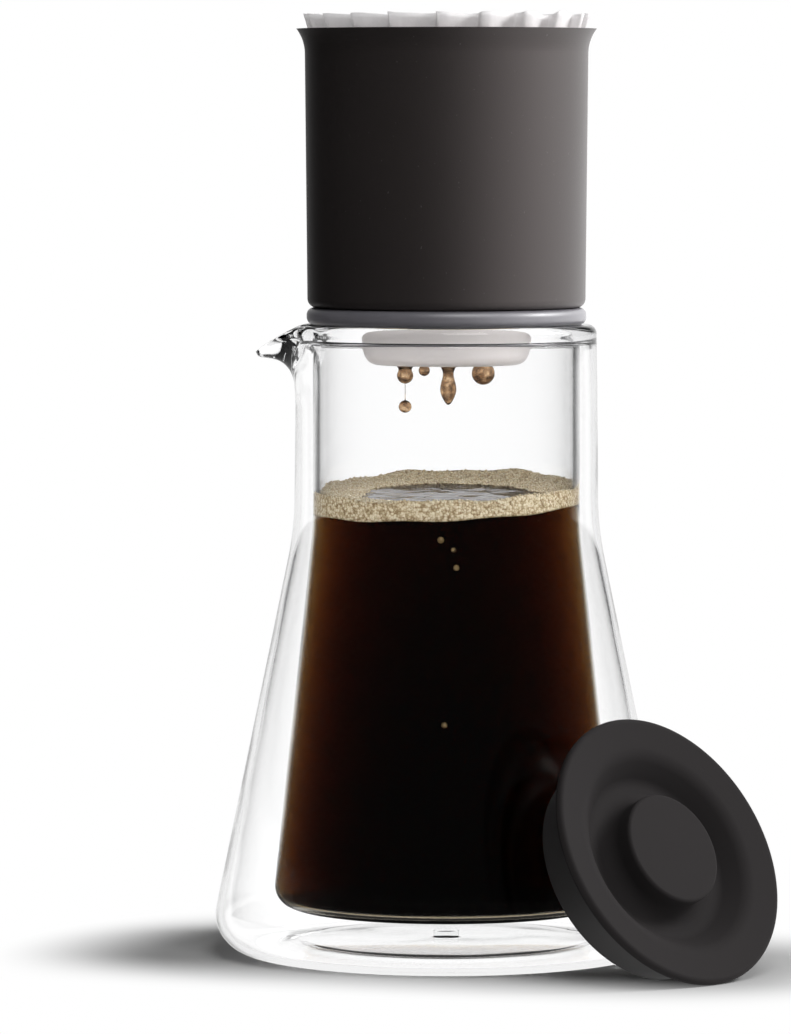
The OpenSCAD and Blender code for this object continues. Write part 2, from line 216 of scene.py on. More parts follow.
# The skin around the sealed air: up the vessel's outside, over, and down inside the outer wall
jacket_outer = wall_side(foot_corner, FOOT_ROUND, NECK_R, OUTER_WALL)
jacket_inner = wall_side(vessel_corner, VESSEL_ROUND, VESSEL_NECK_R, 0)
jacket_half = (RIM_R - OUTER_WALL - VESSEL_NECK_R) / 2
jacket_crown = arc((VESSEL_NECK_R + jacket_half, JACKET_TOP_Z - jacket_half), jacket_half,
                   180, 0, 10)
jacket_mark = np.array((NECK_R - OUTER_WALL, SPOUT_FOOT_Z))
jacket_rise = line((VESSEL_NECK_R, KNEE_Z + 0.02), jacket_crown[0], 14)
jacket_fall = along(np.vstack((jacket_crown[-1], jacket_mark)), 16)[1:]
below_crown = np.vstack((line((POLE_R, VESSEL_Z), jacket_inner[0], 8), jacket_inner, jacket_rise))
air = np.vstack((below_crown, jacket_crown, jacket_fall, line(jacket_mark, jacket_outer[-1], 5),
                 jacket_outer[::-1], punt[::-1] + (0, OUTER_WALL)))
air_rings = turned(air, GLASS_SIDES)
drawn_crown = jacket_crown + (0.0004, -0.0026)
drawn_fall = smooth_run([drawn_crown[-1], (0.0408, 0.1585), (0.0399, 0.1535), jacket_mark],
                        len(jacket_fall) + 1)[1:]
pull_spout(air_rings, len(below_crown), np.vstack((drawn_crown, drawn_fall)))

# The two skins meet in the vent hole
carafe_glass = shell_mesh("carafe_glass", [
    (np.concatenate((air_rings, skin_rings)), VESSEL_Z, VESSEL_Z + INNER_WALL, (0, 0))])


class Wire:
    """An output socket of a node tree. Arithmetic on it adds Math nodes to its tree."""

    def __init__(self, socket):
        self.socket = socket
        self.tree = socket.id_data

    @classmethod
    def node(cls, tree, kind, settings=None, values=None, out=0):
        """Adds a node, sets it up, gives its inputs values or links, and returns one output."""
        made = tree.nodes.new(kind)
        for key, value in (settings or {}).items():
            if key == "stops":
                elements = made.color_ramp.elements
                while len(elements) < len(value):
                    elements.new(1)
                for element, (place, color) in zip(elements, value):
                    element.position = place
                    element.color = color
            else:
                setattr(made, key, value)
        for key, value in (values or {}).items():
            cls.give(made.inputs[key], value)
        return cls(made.outputs[out])

    @classmethod
    def give(cls, socket, value):
        if isinstance(value, cls):
            value.tree.links.new(value.socket, socket)
        else:
            socket.default_value = value

    def math(self, operation, *values):
        return Wire.node(self.tree, "ShaderNodeMath", {"operation": operation},
                         dict(enumerate(values)))

    def __add__(self, other):
        return self.math("ADD", self, other)

    def __radd__(self, other):
        return self.math("ADD", other, self)

    def __sub__(self, other):
        return self.math("SUBTRACT", self, other)

    def __rsub__(self, other):
        return self.math("SUBTRACT", other, self)

    def __mul__(self, other):
        return self.math("MULTIPLY", self, other)


class Finish:
    """A material of one Principled shader, with its constants set and its varying inputs fed."""

    def __init__(self, name, constants):
        self.material = bpy.data.materials.new(name)
        self.material.use_nodes = True
        self.tree = self.material.node_tree
        self.shader = self.tree.nodes["Principled BSDF"]
        for socket, value in constants.items():
            self.shader.inputs[socket].default_value = value
        self.place = self.node("ShaderNodeTexCoord", out="Object")

    def node(self, kind, settings=None, values=None, out=0):
        return Wire.node(self.tree, kind, settings, values, out)

    def noise(self, scale, detail=2.0, roughness=0.5, place=None):
        return self.node("ShaderNodeTexNoise", None, {
            "Vector": place or self.place, "Scale": scale, "Detail": detail,
            "Roughness": roughness})

    def mix(self, share, first, second):
        return self.node("ShaderNodeMix", {"data_type": "RGBA"}, {0: share, 6: first, 7: second}, 2)

    def feed(self, socket, value):
        Wire.give(self.shader.inputs[socket], value)

    def bump(self, height, depth, strength=1.0):
        self.feed("Normal", self.node("ShaderNodeBump", None, {
            "Height": height, "Distance": depth, "Strength": strength}, "Normal"))

    def absorb(self, color, density):
        volume = self.node("ShaderNodeVolumeAbsorption", None, {"Color": color, "Density": density})
        self.tree.links.new(volume.socket, self.tree.nodes["Material Output"].inputs["Volume"])

    def coat(self, piece):
        piece.data.materials.clear()
        piece.data.materials.append(self.material)


GLASS_IOR = 1.30
GLASS_TINT = (0.82, 0.82, 0.84, 1)
GLASS_DENSITY = 16.0
glass = Finish("clear_blown_glass", {
    "Base Color": (1, 1, 1, 1), "Roughness": 0.0, "IOR": GLASS_IOR, "Transmission Weight": 1.0})
glass.bump(glass.noise(38.0, 1.0), 0.0006, 0.25)
glass.absorb(GLASS_TINT, GLASS_DENSITY)
glass.coat(carafe_glass)
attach(carafe_glass, "carafe")
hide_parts("carafe_outer_wall", "carafe_inner_wall")

# Vent seal
# A small plug of clear silicone closes the hole in the foot through which the air between the walls
# was let out while the rim was fused.
VENT_IOR = 1.06
vent = Finish("vent_silicone", {
    "Roughness": 0.0, "IOR": VENT_IOR, "Transmission Weight": 1.0})
vent.feed("Base Color", vent.mix(vent.noise(900.0), (0.93, 0.94, 0.94, 1), (0.98, 0.98, 0.98, 1)))
vent.coat(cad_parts["carafe_vent_seal"])

# Coffee
# The brew fills the inner vessel to the neck. It is nearly black through its middle and amber where
# little of it lies between the eye and the light. A few bubbles cling to the glass.
COFFEE_Z = 0.1240
POOL_BAND = 0.0020
WET_WALL_TOP_Z = 0.1175
WET_WALL_R = 0.034
WET_FLOOR_H = 0.004
WETTED = 0.00012
FOAM_LOW_Z = 0.1206
FOAM_IN_R = 0.0242
FOAM_LAP = 0.0002
WATER_IOR = 1.33
BREW_SIDES = 260
swirl = np.linspace(0, 2 * math.pi, BREW_SIDES, endpoint=False)
front, right = -np.sin(swirl), np.cos(swirl)
foam_low = FOAM_LOW_Z - 0.0016 * front + 0.0015 * right + 0.0002 * np.sin(9 * swirl)
foam_in = FOAM_IN_R + 0.0010 * right - 0.0008 * front + 0.0011 * np.sin(3 * swirl + 2.6)
foam_in += 0.0008 * np.sin(7 * swirl + 2.1) + 0.0005 * np.sin(17 * swirl)
pool_z = COFFEE_Z - 0.0013 * front


def swirl_ring(reach, z):
    """A ring of points at a reach and a height that may change around the vessel."""
    reach, z = (np.broadcast_to(value, swirl.shape) for value in (reach, z))
    return np.column_stack((reach * np.cos(swirl), reach * np.sin(swirl), z))


def bank(share, edge_z, wall_z, power, outer):
    """A ring part of the way from the foam's inner edge to the wall, on a bank that rises."""
    return swirl_ring(foam_in + share * (outer - foam_in),
                      edge_z + (wall_z - edge_z) * share ** power)


wet_wall = vessel_inside[vessel_inside[:, 1] < WET_WALL_TOP_Z]
brew = np.vstack((line((POLE_R, VESSEL_Z + INNER_WALL), wet_wall[0], 6), wet_wall))
brew[:, 0] += np.where(brew[:, 0] > WET_WALL_R, WETTED, 0)
brew[:, 1] -= np.where(brew[:, 1] < VESSEL_Z + WET_FLOOR_H, WETTED, 0)
brew_top = ([swirl_ring(MOUTH_R + WETTED, foam_low + FOAM_LAP)]
            + [bank(share, pool_z, foam_low + FOAM_LAP, 1, MOUTH_R + WETTED)
               for share in np.linspace(1, 0, 7)[1:]]
            + [swirl_ring(foam_in * share, COFFEE_Z + (pool_z - COFFEE_Z) * share)
               for share in np.linspace(1, 0.05, 8)[1:]])
brew_rings = np.concatenate((turned(brew, BREW_SIDES), np.stack(brew_top)))
CLINGING = [(-0.0017, 0.1138, 0.0009), (0.0016, 0.1112, 0.0007), (0.0023, 0.1064, 0.0008),
            (-0.0008, 0.0650, 0.0008)]


def bead(radius, z):
    """A ball's profile from its lower pole up, and the heights of its poles."""
    return arc((0, z), radius, -78, 78, 8), z - radius, z + radius


coffee = shell_mesh("coffee_fill", [
    (brew_rings, VESSEL_Z + INNER_WALL - WETTED, COFFEE_Z, (0, 0))])

# The body bends light less than water does, which keeps its thin edges amber
COFFEE_IOR = 1.035
COFFEE_TINT = (0.598, 0.408, 0.0, 1)
COFFEE_DENSITY = 218.0
black_coffee = Finish("black_coffee", {
    "Roughness": 0.0, "IOR": COFFEE_IOR, "Transmission Weight": 1.0})
black_coffee.feed("Base Color", black_coffee.mix(
    black_coffee.noise(60.0), (0.98, 0.95, 0.88, 1), (0.95, 0.90, 0.80, 1)))

# The open surface is dark and mirrors the room as water does
height = black_coffee.node("ShaderNodeSeparateXYZ", None, {0: black_coffee.place}, "Z")
on_top = height.math("GREATER_THAN", height, COFFEE_Z - POOL_BAND)
ripple = black_coffee.node("ShaderNodeBump", None, {
    "Height": black_coffee.noise(110.0, 2.0), "Distance": 0.0012, "Strength": 0.5}, "Normal")
pool_tone = black_coffee.mix(
    black_coffee.noise(90.0), (0.045, 0.026, 0.015, 1), (0.022, 0.012, 0.007, 1))
pool = black_coffee.node("ShaderNodeBsdfPrincipled", None, {
    "Base Color": pool_tone, "Roughness": 0.02, "IOR": WATER_IOR,
    "Specular Tint": (1.0, 0.78, 0.66, 1), "Normal": ripple})
black_coffee.tree.links.new(
    black_coffee.node("ShaderNodeMixShader", None, {
        0: on_top, 1: Wire(black_coffee.shader.outputs[0]), 2: pool}).socket,
    black_coffee.tree.nodes["Material Output"].inputs["Surface"])
black_coffee.absorb(COFFEE_TINT, COFFEE_DENSITY)
black_coffee.coat(coffee)
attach(coffee, "carafe")

cling_skins = []
for x, z, radius in CLINGING:
    wall_r = np.interp(z, wet_wall[:, 1], wet_wall[:, 0]) - radius * 1.02
    ball_profile, low, high = bead(radius, z)
    cling_skins.append((turned(ball_profile, 20), low, high, (x, -math.sqrt(wall_r ** 2 - x ** 2))))
clinging = shell_mesh("clinging_bubbles", cling_skins)
sheen = Finish("bubble_sheen", {"Roughness": 0.15, "IOR": WATER_IOR})
sheen.feed("Base Color", sheen.mix(
    sheen.noise(800.0), (0.14, 0.10, 0.05, 1), (0.24, 0.18, 0.10, 1)))
sheen.coat(clinging)
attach(clinging, "carafe")

# Foam
# A ring of coffee foam lies against the glass, made of bubbles half a millimetre to one across. It
# is piled up towards the back and runs out to a thin ragged edge around the open coffee.
FOAM_OUTER = MOUTH_R + 0.0001
FOAM_TOP_Z = 0.1264
FOAM_SLOPE = 2.2
EDGE_SUNK = 0.0003
EDGE_UP = 0.0002
foam_top = FOAM_TOP_Z - 0.0022 * front + 0.0010 * right
foam_top += 0.00035 * np.sin(7 * swirl + 1) + 0.00025 * np.sin(13 * swirl + 2)
foam_rings = [bank(share, pool_z - EDGE_SUNK, foam_low, 1, FOAM_OUTER)
              for share in np.linspace(0, 1, 7)[:-1]]
foam_rings += [swirl_ring(FOAM_OUTER, (1 - share) * foam_low + share * foam_top)
               for share in np.linspace(0, 1, 9)]
for share in np.linspace(1, 0, 20)[1:]:
    lump = 0.0003 * np.sin(23 * swirl + 9 * share) * np.sin(14 * share) * share
    foam_rings.append(bank(share, pool_z + EDGE_UP, foam_top, FOAM_SLOPE, FOAM_OUTER))
    foam_rings[-1][:, 2] += lump
foam_rings.append(foam_rings[0])
foam = shell_mesh("coffee_foam", [(np.stack(foam_rings), None, None, (0, 0))])


class Grower:
    """A geometry tree with named inputs, run on a mesh to make a plain mesh piece."""

    def __init__(self, name, sizes):
        self.tree = bpy.data.node_groups.new(name, "GeometryNodeTree")
        self.tree.is_modifier = True
        face = self.tree.interface
        face.new_socket("Base", in_out="INPUT", socket_type="NodeSocketGeometry")
        self.values = {}
        for label, value in sizes.items():
            socket = face.new_socket(label, in_out="INPUT", socket_type="NodeSocketFloat")
            self.values[socket.identifier] = value
        self.finish_id = face.new_socket("Finish", in_out="INPUT",
                                         socket_type="NodeSocketMaterial").identifier
        face.new_socket("Grown", in_out="OUTPUT", socket_type="NodeSocketGeometry")
        entry = self.tree.nodes.new("NodeGroupInput")
        self.given = {socket.name: Wire(socket) for socket in entry.outputs if socket.name}

    def node(self, kind, settings=None, values=None, out=0):
        return Wire.node(self.tree, kind, settings, values, out)

    def close(self, grown):
        """Ends the tree: real geometry with the given finish."""
        whole = self.node("GeometryNodeRealizeInstances", None, {0: grown})
        whole = self.node("GeometryNodeSetMaterial", None, {
            "Geometry": whole, "Material": self.given["Finish"]})
        Wire.give(self.tree.nodes.new("NodeGroupOutput").inputs[0], whole)

    def run(self, name, base, finish, thickness=0):
        """A new object with the tree's result on the base mesh, as a plain mesh."""
        carrier = bpy.data.objects.new(name + "_carrier", base)
        bpy.context.scene.collection.objects.link(carrier)
        modifier = carrier.modifiers.new("grow", "NODES")
        modifier.node_group = self.tree
        for key, value in self.values.items():
            modifier[key] = value
        modifier[self.finish_id] = finish.material
        if thickness:
            wall = carrier.modifiers.new("wall", "SOLIDIFY")
            wall.thickness = thickness
            wall.offset = -1
        ready = carrier.evaluated_get(bpy.context.evaluated_depsgraph_get())
        mesh = bpy.data.meshes.new_from_object(ready)
        mesh.name = name
        bpy.data.objects.remove(carrier)
        piece = bpy.data.objects.new(name, mesh)
        bpy.context.scene.collection.objects.link(piece)
        return piece


FACING_UP = 0.25
bubbles = Grower("foam_bubbles", {
    "Spacing": 0.00074, "Least Radius": 0.00022, "Most Radius": 0.0005})
up = bubbles.node("ShaderNodeSeparateXYZ", None, {0: bubbles.node("GeometryNodeInputNormal")}, "Z")
spots = bubbles.node("GeometryNodeDistributePointsOnFaces", {"distribute_method": "POISSON"}, {
    "Mesh": bubbles.given["Base"], "Selection": up.math("GREATER_THAN", up, FACING_UP),
    "Distance Min": bubbles.given["Spacing"], "Density Max": 4000000.0, "Seed": 7}, "Points")
chance = bubbles.node("FunctionNodeRandomValue", {"data_type": "FLOAT"}, {"Seed": 3}, 1)
spread = bubbles.given["Most Radius"] - bubbles.given["Least Radius"]
ball = bubbles.node("GeometryNodeMeshUVSphere", None, {"Segments": 7, "Rings": 4, "Radius": 1.0})
ball = bubbles.node("GeometryNodeSetShadeSmooth", None, {0: ball})
bubbles.close(bubbles.node("GeometryNodeInstanceOnPoints", None, {
    "Points": spots, "Instance": ball, "Scale": bubbles.given["Least Radius"] + chance * spread}))

PATCH = (0.0007, 0.0007, 0.0007)
film = Finish("bubble_film", {
    "Roughness": 0.14, "IOR": WATER_IOR, "Coat Weight": 0.8, "Coat Roughness": 0.05})
patch = film.node("ShaderNodeTexWhiteNoise", None, {
    "Vector": film.node("ShaderNodeVectorMath", {"operation": "SNAP"}, {
        0: film.place, 1: PATCH}, "Vector")}, "Value")
film.feed("Base Color", film.mix(patch, (0.81, 0.73, 0.55, 1), (0.55, 0.44, 0.28, 1)))


def ramp(tree, value, start, end, amount=1.0, blend="SMOOTHSTEP"):
    """A run from nothing to an amount while a value goes from start to end."""
    return Wire.node(tree, "ShaderNodeMapRange", {"interpolation_type": blend}, {
        "Value": value, "From Min": start, "From Max": end, "To Min": 0.0, "To Max": amount})


# The foam is loose on top and pressed flat where it lies against the glass
CELLS_PER_METRE = 1600.0
PRESSED_FROM = FOAM_OUTER - 0.0010
PRESSED_TO = FOAM_OUTER - 0.0002
froth = Finish("foam_body", {"Roughness": 0.35})
cells = froth.node("ShaderNodeTexVoronoi", {"feature": "F1"}, {
    "Vector": froth.place, "Scale": CELLS_PER_METRE}, "Distance")
cell_tone = froth.node("ShaderNodeSeparateColor", None, {
    0: Wire(cells.socket.node.outputs["Color"])})
# Each cell is painted pale in its middle, a painted highlight on its bubble, and dark at its rim,
# where  liquid lies between the bubbles and painted shade falls. Each cell also gets a random tone
# of its own.
painted_light_and_tone = cells * 0.8 + (cell_tone - 0.5) * 0.7 + 0.08
loose = froth.node("ShaderNodeValToRGB", {"stops": [
    (0.10, (0.71, 0.63, 0.45, 1)), (0.55, (0.58, 0.46, 0.28, 1)),
    (0.92, (0.21, 0.14, 0.07, 1))]}, {0: painted_light_and_tone})
pressed = froth.node("ShaderNodeValToRGB", {"stops": [
    (0.05, (0.78, 0.70, 0.52, 1)), (0.40, (0.64, 0.53, 0.345, 1)), (0.66, (0.44, 0.335, 0.185, 1)),
    (0.90, (0.27, 0.17, 0.075, 1))]}, {0: painted_light_and_tone})
level_place = froth.node("ShaderNodeVectorMath", {"operation": "MULTIPLY"}, {
    0: froth.place, 1: (1, 1, 0)}, "Vector")
outward = froth.node("ShaderNodeVectorMath", {"operation": "LENGTH"}, {0: level_place}, "Value")
at_glass = ramp(froth.tree, outward, PRESSED_FROM, PRESSED_TO)
froth.feed("Base Color", froth.mix(at_glass, loose, pressed))
froth.bump(1 - cells * cells, 0.0003, 0.6)
froth.coat(foam)
foam_bubbles = bubbles.run("foam_bubbles", foam.data, film)
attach(foam, "carafe")
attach(foam_bubbles, "carafe")

# Dripper cup and jacket
# The cone that holds the filter is drawn from bare stainless steel and its lower end is the spigot.
# A flat ring closes the vacuum jacket; the getter and the port's solder bead sit on that ring.
steel = Finish("blasted_steel", {"Metallic": 0.15})
turn_marks = steel.node("ShaderNodeMapping", None, {
    "Vector": steel.place, "Scale": (1, 1, 26)}, "Vector")
brushed = steel.noise(340.0, 4.0, 0.6, turn_marks)
steel.feed("Base Color", steel.mix(brushed, (0.64, 0.60, 0.588, 1), (0.71, 0.67, 0.658, 1)))
steel.feed("Roughness", 0.34 + brushed * 0.14)
steel.bump(brushed, 0.00002, 0.35)
for name in ("dripper_inner_cup", "dripper_jacket_plate"):
    steel.coat(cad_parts[name])
sintered = Finish("sintered_getter", {"Metallic": 1.0, "Roughness": 0.6})
pores = sintered.noise(3000.0, 3.0)
sintered.feed("Base Color", sintered.mix(pores, (0.25, 0.25, 0.25, 1), (0.45, 0.45, 0.44, 1)))
sintered.coat(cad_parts["dripper_getter"])
solder = Finish("solder_glass", {"Roughness": 0.2})
solder.feed("Base Color", solder.mix(
    solder.noise(1200.0), (0.05, 0.045, 0.04, 1), (0.12, 0.10, 0.09, 1)))
solder.coat(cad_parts["dripper_port_seal"])

# Dripper shell
# Deep-drawn stainless steel with a flared rim and a turned-in hem, powder coated matte black. The
# coat has a fine grain and a few pale specks of dust.
black_coat = Finish("black_powder_coat", {"Specular Tint": (1.0, 0.90, 0.89, 1)})
grain = black_coat.noise(2600.0, 2.0)
drift = black_coat.noise(22.0, 3.0)
coat_tone = black_coat.mix(drift, (0.0165, 0.0135, 0.0132, 1), (0.0215, 0.0178, 0.0172, 1))
SPECK_FROM = 0.86
dust = black_coat.noise(1500.0, 0.0)
speck = dust.math("GREATER_THAN", dust, SPECK_FROM)
black_coat.feed("Base Color", black_coat.mix(speck, coat_tone, (0.06, 0.055, 0.055, 1)))
black_coat.feed("Roughness", 0.44 + grain * 0.08 + drift * 0.06)
black_coat.bump(grain, 0.00003, 0.5)
black_coat.coat(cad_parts["dripper_outer_shell"])

# Dripper gasket
# A moulded ring of slate grey silicone, pushed up the spigot, that carries the dripper on the rim.
# Its skin is smooth and a little dusty.
slate = Finish("slate_silicone", {"Specular IOR Level": 1.0})
bloom = slate.noise(160.0, 4.0)
slate.feed("Base Color", slate.mix(bloom, (0.115, 0.111, 0.127, 1), (0.150, 0.145, 0.163, 1)))
slate.feed("Roughness", 0.36 + bloom * 0.16)
slate.bump(slate.noise(1800.0), 0.00002, 0.4)
slate.coat(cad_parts["dripper_gasket"])

# Paper filter
# White crimped filter paper, pressed into pleats around a flat floor. It lies in the cup and stands
# a few millimetres above the rim, where the folds lean over and the cut edge is uneven.
filter_low, filter_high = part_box("paper_filter")
PAPER_THICK = 0.00025
PAPER_CLEAR = 0.0001
filter_tree = Grower("paper_pleats", {
    "Low": filter_low.z + PAPER_CLEAR, "Floor Radius": 0.0180, "Knee Radius": 0.0212,
    "Knee Rise": 0.0038, "Cone Radius": 0.0361, "Cone Rise": 0.0810,
    "Top Radius": filter_high.x - PAPER_CLEAR, "High": filter_high.z - PAPER_CLEAR,
    "Pleats": 20.0, "Low Depth": 0.0005, "Top Depth": 0.0034, "Ragged": 0.0017})
size = filter_tree.given
sheet = filter_tree.node("GeometryNodeMeshGrid", None, {
    "Size X": 1.0, "Size Y": 1.0, "Vertices X": 321, "Vertices Y": 44})
place = filter_tree.node("GeometryNodeInputPosition")
around = filter_tree.node("ShaderNodeSeparateXYZ", None, {0: place}, "X") + 0.5
rise = filter_tree.node("ShaderNodeSeparateXYZ", None, {0: place}, "Y") + 0.5


def stretch(value, start, end, amount):
    """A straight run from nothing to an amount, on the filter's tree."""
    return ramp(filter_tree.tree, value, start, end, amount, "LINEAR")


turn = around * (2 * math.pi)
east, north = turn.math("COSINE", turn), turn.math("SINE", turn)


def crumple(scale, seed):
    """Soft noise that runs around the filter without a seam."""
    spot = filter_tree.node("ShaderNodeCombineXYZ", None, {0: east, 1: north, 2: seed})
    return filter_tree.node("ShaderNodeTexNoise", None, {
        "Vector": spot, "Scale": scale, "Detail": 1.0})


# Shares of the sheet where its floor, the knee around it and the cone end
FLOOR_END, KNEE_END, CONE_END = 0.10, 0.16, 0.84
fold = around * size["Pleats"] + (crumple(2.2, 4.0) - 0.5) * 0.9
zigzag = fold.math("PINGPONG", fold, 0.5) * 2
FOLD_EASE = (0.14, 0.80)
wave = ramp(filter_tree.tree, zigzag, *FOLD_EASE)
reach = (stretch(rise, 0.0, FLOOR_END, size["Floor Radius"])
         + stretch(rise, FLOOR_END, KNEE_END, size["Knee Radius"] - size["Floor Radius"])
         + stretch(rise, KNEE_END, CONE_END, size["Cone Radius"] - size["Knee Radius"])
         + stretch(rise, CONE_END, 1.0, size["Top Radius"] - size["Cone Radius"]))
depth = size["Low Depth"] + (size["Top Depth"] - size["Low Depth"]) * rise
depth = depth * (0.55 + crumple(3.1, 9.0) * 0.9) * stretch(rise, 0.06, KNEE_END, 1.0)
reach = reach - depth * wave
lip_rise = size["High"] - size["Low"] - size["Knee Rise"] - size["Cone Rise"]
level = (size["Low"] + stretch(rise, FLOOR_END, KNEE_END, size["Knee Rise"])
         + stretch(rise, KNEE_END, CONE_END, size["Cone Rise"])
         + stretch(rise, CONE_END, 1.0, lip_rise))
level = level - stretch(rise, CONE_END, 1.0, size["Ragged"]) * (crumple(4.0, 2.0) + wave * 0.35)
lean_over = turn + (wave - 0.5) * stretch(rise, 0.3, 1.0, 0.10)
spot = filter_tree.node("ShaderNodeCombineXYZ", None, {
    0: reach * lean_over.math("COSINE", lean_over),
    1: reach * lean_over.math("SINE", lean_over), 2: level})
pleated = filter_tree.node("GeometryNodeSetPosition", None, {"Geometry": sheet, "Position": spot})
pleated = filter_tree.node("GeometryNodeMergeByDistance", None, {
    "Geometry": pleated, "Distance": 0.00002})
filter_tree.close(filter_tree.node("GeometryNodeSetShadeSmooth", None, {0: pleated}))

paper = Finish("filter_paper", {
    "Roughness": 0.8, "Specular IOR Level": 0.25, "Subsurface Weight": 0.25,
    "Subsurface Radius": (0.002, 0.002, 0.002), "Subsurface Scale": 1.0})
fibre = paper.noise(900.0, 5.0, 0.65)
paper.feed("Base Color", paper.mix(fibre, (0.79, 0.77, 0.775, 1), (0.88, 0.86, 0.865, 1)))
paper.bump(fibre, 0.00005, 0.5)
paper_filter = filter_tree.run(
    "paper_filter_pleated", bpy.data.meshes.new("no_base"), paper, PAPER_THICK)
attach(paper_filter, "filter")
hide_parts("paper_filter")

# Coffee drops
# Fresh coffee gathers under the drain holes of the spigot: two round beads, one long drop about to
# break, and one that hangs on a thread below the bead it came from.
spigot_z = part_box("dripper_inner_cup")[0].z
ROOT = 0.0002


def hanging(points, axis):
    """A drop turned from its profile, given as radius and height over the spigot's underside."""
    profile = along(points, 40) + (0, spigot_z)
    return turned(profile, 32), profile[0, 1] - 0.00003, spigot_z + ROOT, axis


drops = shell_mesh("coffee_drops", [
    hanging(np.vstack((arc((0, -0.0111), 0.00175, -85, 87), arc((0, -0.0027), 0.0022, -88, 38),
                       [(0.0019, -0.0006), (0.0027, ROOT)])), (-0.0111, -0.0064)),
    hanging(smooth_run([(0.0002, -0.0108), (0.0008, -0.0104), (0.0017, -0.0088), (0.0023, -0.0070),
                        (0.0020, -0.0050), (0.0015, -0.0034), (0.0014, -0.0022), (0.0019, -0.0008),
                        (0.0029, ROOT)], 40), (0.0005, 0.0)),
    hanging(np.vstack((arc((0, -0.0021), 0.0031, -85, 36), [(0.0028, ROOT)])), (0.0098, -0.0064)),
    hanging(np.vstack((arc((0, -0.0012), 0.0015, -85, 40), [(0.0017, ROOT)])), (-0.0060, -0.0111))])
amber = Finish("brown_coffee", {
    "Roughness": 0.03, "IOR": WATER_IOR, "Transmission Weight": 0.9})
# The noise ramp paints dark and pale patches over the amber: painted shade and painted highlights
# of  caught light, together with swirls in the brew.
amber.feed("Base Color", amber.node("ShaderNodeValToRGB", {"stops": [
    (0.36, (0.12, 0.07, 0.042, 1)), (0.50, (0.31, 0.175, 0.09, 1)),
    (0.66, (0.70, 0.50, 0.31, 1))]}, {0: amber.noise(620.0, 1.0)}))
amber.coat(drops)
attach(drops, "dripper")

# Lid
# A soft-touch moulded cap with a finger dish around its bare knob, a disc that closes it below,
# and a silicone sleeve stretched over the plug.
soft_touch = Finish("soft_touch_charcoal", {"Specular IOR Level": 0.06})
velvet = soft_touch.noise(1900.0, 2.0)
smudge = soft_touch.noise(30.0, 4.0)
soft_touch.feed("Base Color", soft_touch.mix(
    smudge, (0.0162, 0.0146, 0.0148, 1), (0.0208, 0.0188, 0.0191, 1)))
soft_touch.feed("Roughness", 0.66 + velvet * 0.1 + smudge * 0.08)
soft_touch.bump(velvet, 0.00003, 0.5)
for name in ("lid_cap", "lid_inner_disc"):
    soft_touch.coat(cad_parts[name])
sleeve = Finish("dark_silicone", {"Specular IOR Level": 0.4})
film_dust = sleeve.noise(70.0, 4.0)
sleeve.feed("Base Color", sleeve.mix(
    film_dust, (0.021, 0.0195, 0.0195, 1), (0.0285, 0.0262, 0.0262, 1)))
sleeve.feed("Roughness", 0.5 + film_dust * 0.15)
sleeve.bump(sleeve.noise(2200.0), 0.00002, 0.4)
sleeve.coat(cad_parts["lid_seal"])

# Studio
# A white sweep under two soft boxes, one high on the right and one above the front. Smooth glass
# mirrors a dark room, so that it stays clear; satin surfaces mirror a bright wall on the right.
# What stands inside the glass gets more of the room's light, as no lamp reaches it there.
ROOM_LIGHT = 0.20
DARK_ROOM = 0.025
BRIGHT_ROOM = 0.9
RIGHT_WALL = 2.3
THROUGH_GLASS = 1.15
INSIDE_GLASS = 1.2

# Directions, as where a ray's X, Y or Z begins and ends to count
RIGHT_X, RIGHT_Y = 0.94, 0.34
RIGHT_SPAN = (-0.5, 0.9)
BEHIND = (0.86, 0.96)
OVERHEAD = (0.62, 0.80)
HORIZON = (0.015, 0.005)
BACKWARD = (0.3, 0.5)

# Refractions above which a ray has been inside the vessel, and below which it met one wall only,
# and the reflections above which it was mirrored again
BEEN_INSIDE = 5.5
ONE_WALL = 3.5
ONE_MIRROR = 1.5


def surroundings(tree, way, under=0.0):
    """What a ray meets far out along a way: whether it came straight, through glass, off something
    smooth or off something satin, and how bright the place is for it. It is bright under the
    object."""
    def kind(name):
        return Wire.node(tree, "ShaderNodeLightPath", out=name)

    def toward(axis):
        return Wire.node(tree, "ShaderNodeSeparateXYZ", None, {0: way}, axis)
    bounces = kind("Glossy Depth")
    mirrored = bounces.math("MINIMUM", bounces, 1.0)
    straight = kind("Is Camera Ray")
    through = kind("Is Transmission Ray") * (1 - mirrored)
    smooth = mirrored * kind("Is Singular Ray")
    satin = mirrored - smooth
    walls = kind("Transmission Depth")
    scattered = kind("Diffuse Depth")
    inside = (scattered.math("MINIMUM", scattered, 1.0)
              * walls.math("GREATER_THAN", walls, BEEN_INSIDE))
    behind = ramp(tree, toward("Y"), *BEHIND)
    level = ramp(tree, toward("Z"), *HORIZON) * ramp(tree, toward("Y"), *BACKWARD)
    low = level.math("MAXIMUM", level, under) * walls.math("LESS_THAN", walls, ONE_WALL)
    bright = behind.math("MAXIMUM", behind, ramp(tree, toward("Z"), *OVERHEAD))
    bright = bright.math("MAXIMUM", bright, low)
    bright = bright.math("MAXIMUM", bright, bounces.math("GREATER_THAN", bounces, ONE_MIRROR))
    right_wall = ramp(tree, toward("X") * RIGHT_X + toward("Y") * RIGHT_Y, *RIGHT_SPAN)
    glow = (straight + through * (THROUGH_GLASS + inside * INSIDE_GLASS)
            + smooth * (DARK_ROOM + bright * (BRIGHT_ROOM - DARK_ROOM))
            + satin * right_wall * RIGHT_WALL)
    return straight, through, smooth, satin, glow


